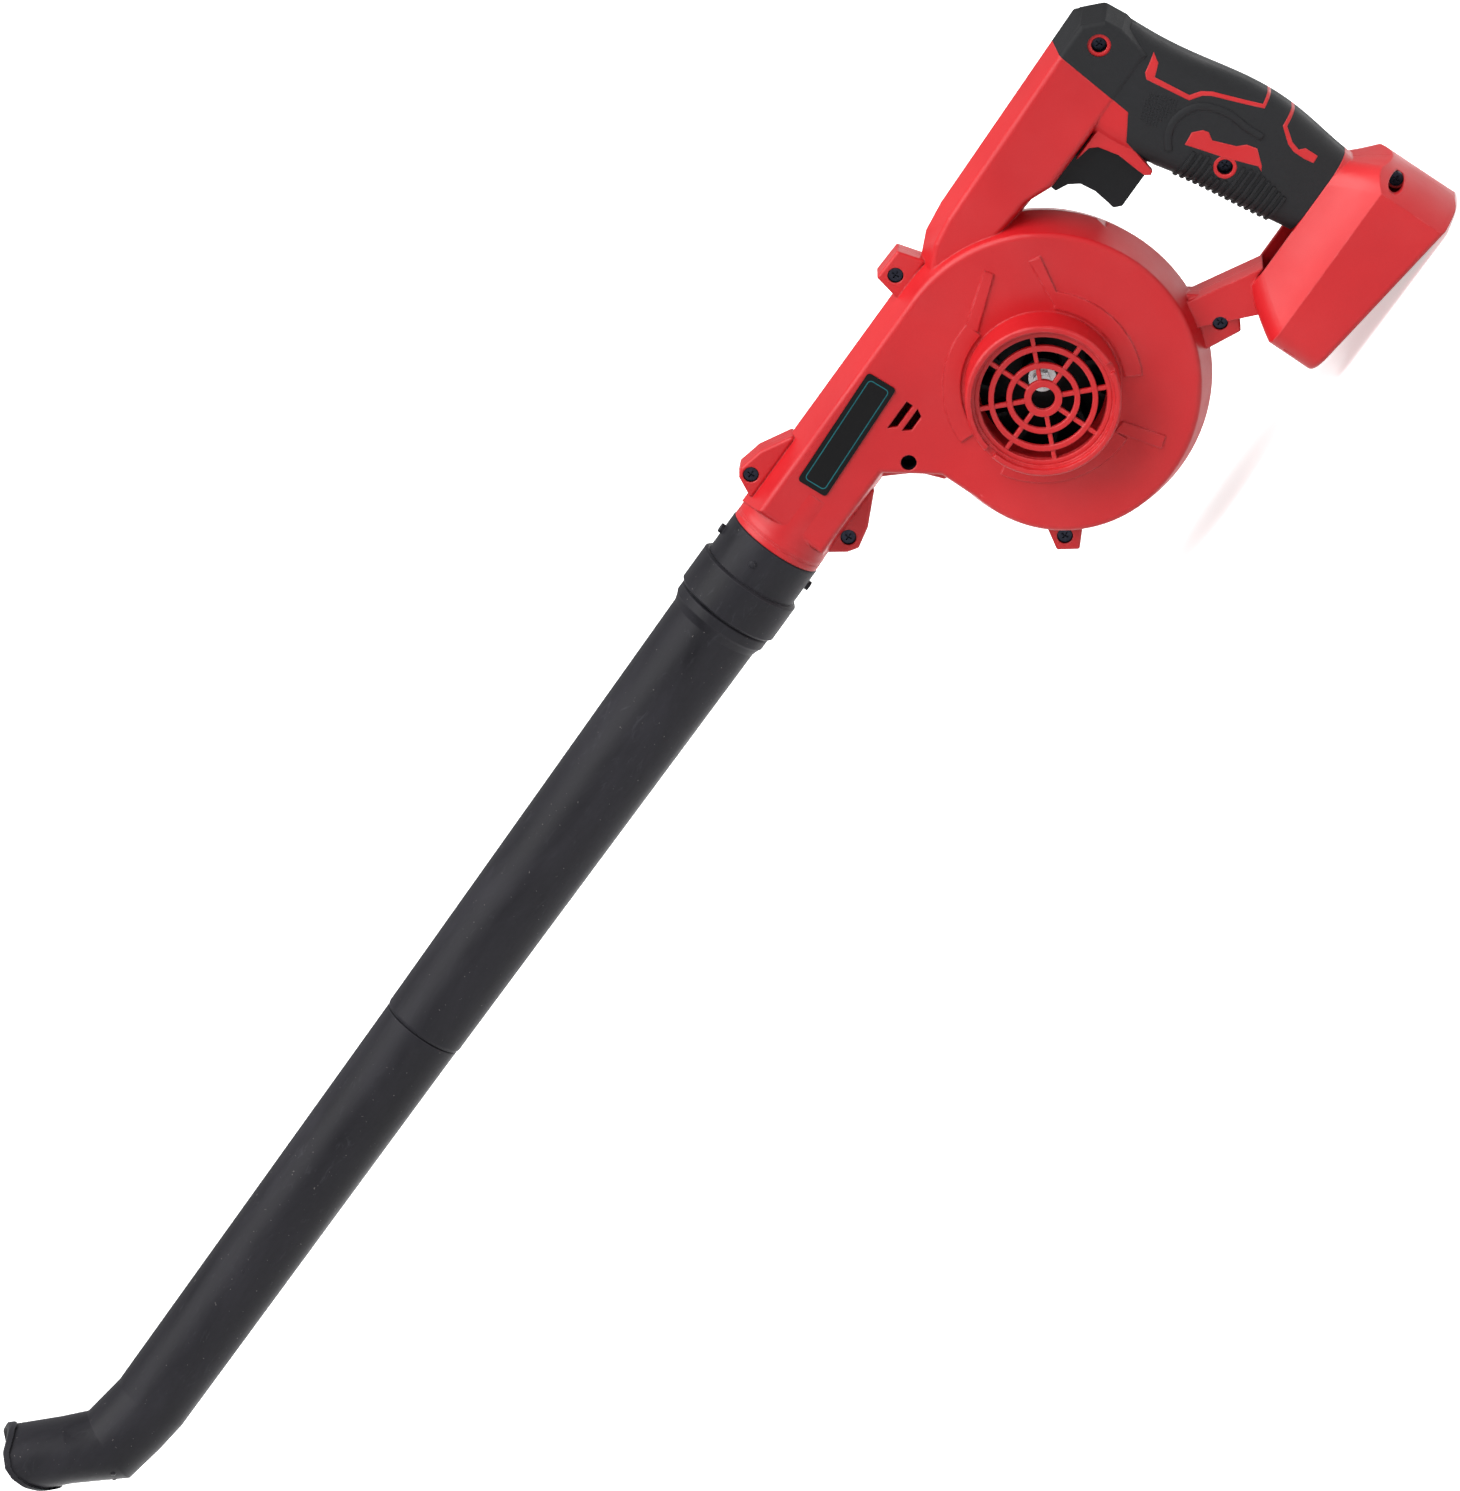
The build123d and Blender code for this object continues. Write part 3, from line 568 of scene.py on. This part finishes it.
def addPaintedRecessShade():
    # dark sleeves of painted shade inside the screw recesses, standing in for the shadow on their red walls
    verts, faces = [], []
    part = nodes["housing_screws"]
    wall = meshTree("housing_left", "grip_left")
    build = bmesh.new()
    build.from_mesh(part.data)
    build.transform(part.matrix_world)
    build.verts.ensure_lookup_table()
    left = set(build.verts)
    while left:
        todo = [next(iter(left))]
        group = set(todo)
        while todo:
            for edge in todo.pop().link_edges:
                for vert in edge.verts:
                    if vert not in group:
                        group.add(vert)
                        todo.append(vert)
        left -= group
        xs, zs, ys = [v.co.x for v in group], [v.co.z for v in group], [v.co.y for v in group]
        cx, cz, head = (min(xs) + max(xs)) / 2, (min(zs) + max(zs)) / 2, min(ys)
        if max(xs) - min(xs) < screwRecess["smallestHead"]:
            continue
        tops = []
        for k in range(screwRecess["sides"]):
            turn = 2 * math.pi * k / screwRecess["sides"]
            x = cx + screwRecess["probe"] * math.cos(turn)
            z = cz + screwRecess["probe"] * math.sin(turn)
            hit = wall.ray_cast(Vector((x, parting - 0.08, z)), Vector((0, 1, 0)))[0]
            tops.append(hit.y if hit is not None else head)
        mouth = max(tops) + screwRecess["belowMouth"]
        if mouth > head:
            continue
        start = len(verts)
        count = screwRecess["sides"]
        end = head + screwRecess["pastHead"]
        for y, radius in ((mouth, screwRecess["radius"]), (mouth, screwRecess["inner"]),
                          (end, screwRecess["inner"]), (end, screwRecess["radius"])):
            for k in range(count):
                turn = 2 * math.pi * k / count
                verts.append(Vector((cx + radius * math.cos(turn), y, cz + radius * math.sin(turn))))
        for ring in range(4):
            for k in range(count):
                n = (k + 1) % count
                a, b = start + ring * count, start + (ring + 1) % 4 * count
                faces.append((a + k, a + n, b + n, b + k))
    build.free()
    addPiece("recess_painted_shade", "housing", "black_plastic", verts, faces, recessShade)


def disc(verts, faces, centre, normal, radius, height, sides=20):
    # a low rounded button standing on a surface
    first = normal.orthogonal().normalized()
    second = normal.cross(first)
    start = len(verts)
    for scale, lift in ((1.0, -0.0003), (0.85, height * 0.7), (0.5, height)):
        for k in range(sides):
            turn = 2 * math.pi * k / sides
            out = first * math.cos(turn) + second * math.sin(turn)
            verts.append(centre + out * radius * scale + normal * lift)
    for ring in range(2):
        for k in range(sides):
            n = (k + 1) % sides
            a, b = start + ring * sides, start + (ring + 1) * sides
            faces.append((a + k, a + n, b + n, b + k))
    faces.append(tuple(start + 2 * sides + k for k in range(sides)))
    faces.append(tuple(start + k for k in reversed(range(sides))))


tubeMarks = {
    "adapterButton": (-0.1585, 0.0660, 0.0022, 0.0006),
    "tipMarks": [(-0.7345, 0.0560, 0.0016, 0.0005), (-0.7385, 0.0525, 0.0012, 0.0004)],
    "tubeDot": (-0.6090, 0.0640, 0.0008, 0.0003),
}


def addTubeMarks():
    for name, node, body, places in (
        ("adapter_button", "nozzle_adapter", "nozzle", [tubeMarks["adapterButton"]]),
        ("tip_marks", "lower_tube", "tube_end", tubeMarks["tipMarks"] + [tubeMarks["tubeDot"]]),
    ):
        surface = meshTree(node)
        verts, faces = [], []
        for x, z, radius, height in places:
            hit, normal = onSide(surface, -1, x, z)
            if hit is not None:
                disc(verts, faces, hit, normal, radius, height)
        addPiece(name, body, "tube_plastic", verts, faces)


addTubeMarks()
print("tube marks made")
gripSurface = meshTree("grip_left", "grip_right")
for side in (-1, 1):
    addRibs(side, gripSurface)
    addThumbRidge(side, gripSurface)
    addChecker(side, gripSurface)
print("grip ribs, ridge and checker made")
addLabelLine()
addPaintedRecessShade()
print("label line and screw recesses made")


# floor, lights and camera

studio = {
    "floorGlow": 0.5, "worldLight": 0.54, "floorTop": 0.0005,
    "topSun": (3.8, 60), "frontSun": (0.15, 50), "softBox": 6,
    "azimuth": 14.0, "elevation": 10.0, "roll": 54.0, "lean": 2.47,
    "distance": 25.0, "height": 0.7455, "aim": (-0.2484, 0.0169),
}


def stageSet():
    mesh = bpy.data.meshes.new("floor")
    build = bmesh.new()
    bmesh.ops.create_grid(build, x_segments=4, y_segments=4, size=150.0)
    build.to_mesh(mesh)
    build.free()
    floor = bpy.data.objects.new("floor", mesh)
    floor.location = (0, 0, footLow - studio["floorTop"])
    bpy.context.scene.collection.objects.link(floor)
    mat, tree, shader = newMaterial("pale_floor")
    cloud = noise(tree, objectCoords(tree), 3.0, 3.0)
    tree.links.new(ramp(tree, cloud, [(0.3, (0.86, 0.86, 0.86)), (0.7, (0.89, 0.89, 0.89))]),
                   shader.inputs["Base Color"])
    shader.inputs["Roughness"].default_value = 0.9
    shader.inputs["Emission Color"].default_value = (1, 1, 1, 1)
    shader.inputs["Emission Strength"].default_value = studio["floorGlow"]
    floor.data.materials.append(mat)
    floor.visible_diffuse = False


def sun(name, direction, strength, angle):
    data = bpy.data.lights.new(name, "SUN")
    data.energy = strength
    data.angle = math.radians(angle)
    lamp = bpy.data.objects.new(name, data)
    lamp.rotation_euler = Vector(direction).to_track_quat("-Z", "Y").to_euler()
    bpy.context.scene.collection.objects.link(lamp)


def panel(name, place, target, size, power):
    data = bpy.data.lights.new(name, "AREA")
    data.shape = "RECTANGLE"
    data.size, data.size_y = size
    data.energy = power
    lamp = bpy.data.objects.new(name, data)
    lamp.location = place
    lamp.rotation_euler = (Vector(target) - Vector(place)).to_track_quat("-Z", "Y").to_euler()
    bpy.context.scene.collection.objects.link(lamp)


def lights():
    world = bpy.data.worlds.new("studio")
    world.use_nodes = True
    world.node_tree.nodes["Background"].inputs["Color"].default_value = (1, 1, 1, 1)
    world.node_tree.nodes["Background"].inputs["Strength"].default_value = studio["worldLight"]
    bpy.context.scene.world = world
    sun("topLight", (-0.15, 0.40, -1.0), *studio["topSun"])
    sun("frontLight", (-0.2, 1.0, -0.25), *studio["frontSun"])
    panel("softBox", (-0.35, -1.5, 1.5), (-0.2, 0.05, 0), (1.6, 1.0), studio["softBox"])


def photoCamera():
    az = math.radians(studio["azimuth"])
    el = math.radians(studio["elevation"])
    outward = Vector((math.sin(az) * math.cos(el), -math.cos(az) * math.cos(el), math.sin(el)))
    right = Vector((math.cos(az), math.sin(az), 0))
    up = outward.cross(right)
    turn = Matrix.Rotation(math.radians(studio["roll"] + studio["lean"]), 3, outward)
    right, up = turn.inverted() @ right, turn.inverted() @ up
    data = bpy.data.cameras.new("photoCamera")
    data.sensor_width = 24.0
    data.lens = 24.0 * studio["distance"] / studio["height"]
    data.clip_end = 500
    cam = bpy.data.objects.new("photoCamera", data)
    aim = Vector((studio["aim"][0], parting, studio["aim"][1]))
    place = aim + outward * studio["distance"]
    cam.matrix_world = Matrix.Translation(place) @ Matrix((right, up, outward)).transposed().to_4x4()
    bpy.context.scene.collection.objects.link(cam)
    bpy.context.scene.camera = cam


stageSet()
lights()
photoCamera()
bpy.context.scene.view_settings.view_transform = "Standard"
print("studio made")
